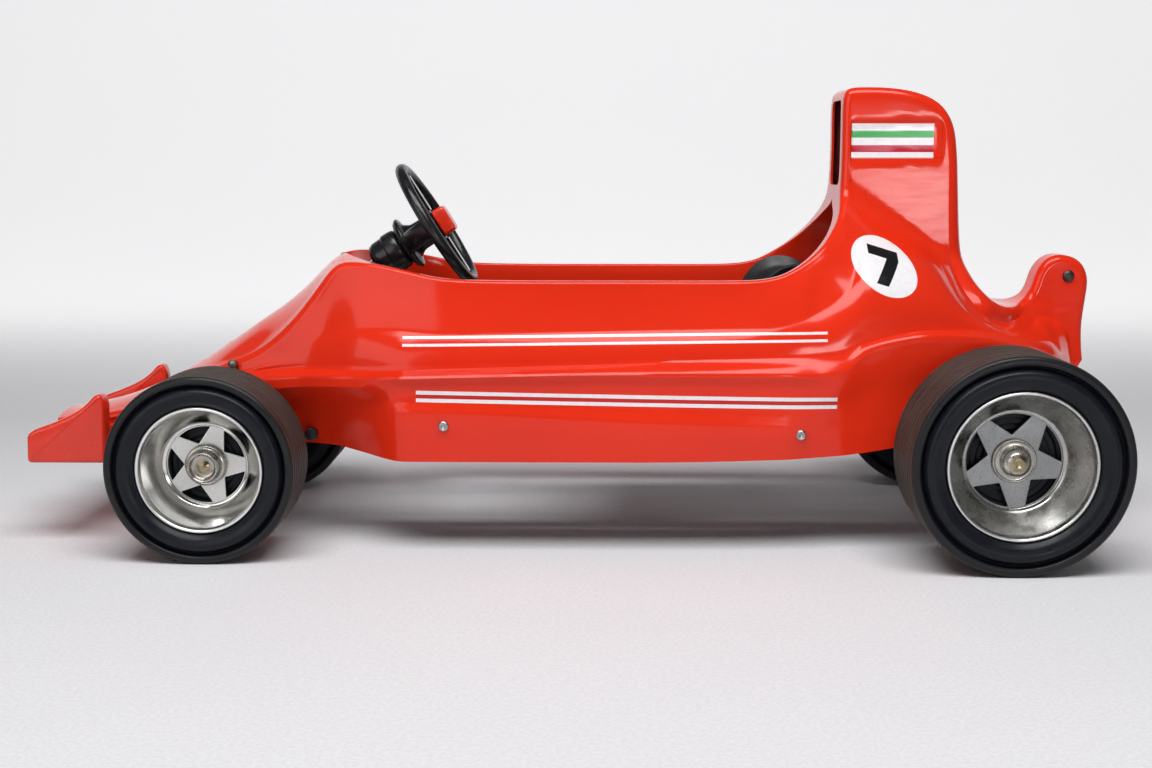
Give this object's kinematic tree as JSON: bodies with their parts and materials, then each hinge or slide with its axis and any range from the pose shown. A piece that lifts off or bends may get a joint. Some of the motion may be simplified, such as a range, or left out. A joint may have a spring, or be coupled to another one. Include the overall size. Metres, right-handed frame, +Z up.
{
  "type": "pedal car",
  "caption": "Ride-on pedal racing car: moulded body on a steel frame, lever pedals driving a cranked rear axle, kingpin steering.",
  "frame": {"origin": "on the floor, under the middle of the car's length and width", "axes": "+X runs from nose to tail, +Y is the car's right side, +Z is up"},
  "size_m": [1.3059, 0.58, 0.549],
  "materials": {
    "body_plastic": "glossy moulded orange-red plastic, fine scratches",
    "hub_block_red": "satin red plastic",
    "front_tyre_rubber": "ribbed black rubber, brown dust on the tread",
    "rear_tyre_rubber": "ribbed black rubber, brown dust on the tread",
    "front_rim_chrome": "bright plating",
    "rear_rim_chrome": "tarnished plating with dark pits",
    "front_star_metal": "satin silver",
    "rear_star_metal": "dull grey metal",
    "front_hub_metal": "satin metal",
    "rear_hub_metal": "satin metal with a brassy dome",
    "screw_steel": "plated screw in a cup washer",
    "wheel_black_plastic": "satin black moulding",
    "strip_silver": "silver trim",
    "column_chrome": "plated tube",
    "seat_plastic": "black moulded plastic",
    "pad_rubber": "ribbed rubber",
    "cap_black_plastic": "black push-on cap",
    "bearing_nylon": "off-white nylon",
    "liner_grey": "dark grey panel",
    "plain_steel": "bare steel rod",
    "dark_bolt": "darkened steel",
    "frame_paint": "black paint over steel"
  },
  "bodies": {
    "chassis": {"body_moulding": "body_plastic", "front_wing": "body_plastic", "intake_liner": "liner_grey", "tail_fin_bolt": "dark_bolt", "body_screw_front_left": "screw_steel", "body_screw_front_right": "screw_steel", "body_screw_rear_left": "screw_steel", "body_screw_rear_right": "screw_steel", "kingpin_left": "dark_bolt", "kingpin_right": "dark_bolt", "frame_rail_left": "frame_paint", "frame_rail_right": "frame_paint", "rear_bearing_left": "bearing_nylon", "rear_bearing_right": "bearing_nylon", "front_axle_beam": "frame_paint", "body_bracket_front_left": "frame_paint", "body_bracket_front_right": "frame_paint", "body_bracket_rear_left": "frame_paint", "body_bracket_rear_right": "frame_paint", "column_post": "frame_paint", "pedal_pivot_rod": "plain_steel", "pivot_cap_left": "cap_black_plastic", "pivot_cap_right": "cap_black_plastic", "seat_moulding": "seat_plastic", "seat_crossbar": "frame_paint"},
    "steering": {"steering_column": "column_chrome", "steering_wheel": "wheel_black_plastic", "steering_boss": "wheel_black_plastic", "steering_hub_cap": "hub_block_red", "spoke_strip_upper": "strip_silver", "spoke_strip_lower": "strip_silver"},
    "track_rod": {"tie_rod": "plain_steel"},
    "left_knuckle": {"knuckle_left": "frame_paint"},
    "right_knuckle": {"knuckle_right": "frame_paint"},
    "left_front_wheel": {"tyre_front_left": "front_tyre_rubber", "rim_front_left": "front_rim_chrome", "star_front_left": "front_star_metal", "hub_cap_front_left": "front_hub_metal"},
    "right_front_wheel": {"tyre_front_right": "front_tyre_rubber", "rim_front_right": "front_rim_chrome", "star_front_right": "front_star_metal", "hub_cap_front_right": "front_hub_metal"},
    "rear_wheels": {"rear_axle": "plain_steel", "tyre_rear_left": "rear_tyre_rubber", "rim_rear_left": "rear_rim_chrome", "star_rear_left": "rear_star_metal", "hub_cap_rear_left": "rear_hub_metal", "tyre_rear_right": "rear_tyre_rubber", "rim_rear_right": "rear_rim_chrome", "star_rear_right": "rear_star_metal", "hub_cap_rear_right": "rear_hub_metal"},
    "left_push_rod": {"push_rod_left": "plain_steel"},
    "right_push_rod": {"push_rod_right": "plain_steel"},
    "left_pedal": {"pedal_lever_left": "frame_paint", "pedal_pad_left": "pad_rubber"},
    "right_pedal": {"pedal_lever_right": "frame_paint", "pedal_pad_right": "pad_rubber"}
  },
  "joints": [
    {"name": "steering_turn", "type": "hinge", "parent": "chassis", "child": "steering", "pos_m": [-0.169, 0, 0.3794], "axis": [0.8462, 0, 0.5329], "range_deg": [-30, 30]},
    {"name": "track_rod_slide", "type": "slide", "parent": "chassis", "child": "track_rod", "axis": [0, 1, 0], "range_m": [-0.0131, 0.0131]},
    {"name": "left_knuckle_turn", "type": "hinge", "parent": "chassis", "child": "left_knuckle", "pos_m": [-0.4085, -0.113, 0.11], "axis": [0, 0, 1], "range_deg": [-13.7, 13.7]},
    {"name": "right_knuckle_turn", "type": "hinge", "parent": "chassis", "child": "right_knuckle", "pos_m": [-0.4085, 0.113, 0.11], "axis": [0, 0, 1], "range_deg": [-13.7, 13.7]},
    {"name": "left_front_wheel_spin", "type": "hinge", "parent": "left_knuckle", "child": "left_front_wheel", "pos_m": [-0.4221, -0.1946, 0.1095], "axis": [0, 1, 0], "continuous": true},
    {"name": "right_front_wheel_spin", "type": "hinge", "parent": "right_knuckle", "child": "right_front_wheel", "pos_m": [-0.4221, 0.1946, 0.1095], "axis": [0, 1, 0], "continuous": true},
    {"name": "rear_axle_spin", "type": "hinge", "parent": "chassis", "child": "rear_wheels", "pos_m": [0.505, 0, 0.125], "axis": [0, 1, 0], "continuous": true},
    {"name": "left_push_rod_pivot", "type": "hinge", "parent": "rear_wheels", "child": "left_push_rod", "pos_m": [0.505, -0.046, 0.155], "axis": [0, 1, 0], "continuous": true},
    {"name": "right_push_rod_pivot", "type": "hinge", "parent": "rear_wheels", "child": "right_push_rod", "pos_m": [0.505, 0.046, 0.095], "axis": [0, 1, 0], "continuous": true},
    {"name": "left_pedal_swing", "type": "hinge", "parent": "chassis", "child": "left_pedal", "pos_m": [-0.315, -0.066, 0.13], "axis": [0, 1, 0], "range_deg": [-24, 24]},
    {"name": "right_pedal_swing", "type": "hinge", "parent": "chassis", "child": "right_pedal", "pos_m": [-0.315, 0.066, 0.13], "axis": [0, 1, 0], "range_deg": [-24, 24]}
  ],
  "couplings": [
    {"joint": "track_rod_slide", "follows": "steering_turn", "m_per_rad": 0.02483},
    {"joint": "left_knuckle_turn", "follows": "steering_turn", "ratio": 0.4556},
    {"joint": "right_knuckle_turn", "follows": "steering_turn", "ratio": 0.4556},
    {"joint": "left_push_rod_pivot", "follows": "rear_axle_spin", "ratio": -1},
    {"joint": "right_push_rod_pivot", "follows": "rear_axle_spin", "ratio": -1},
    {"joint": "right_pedal_swing", "follows": "left_pedal_swing", "ratio": -1}
  ]
}
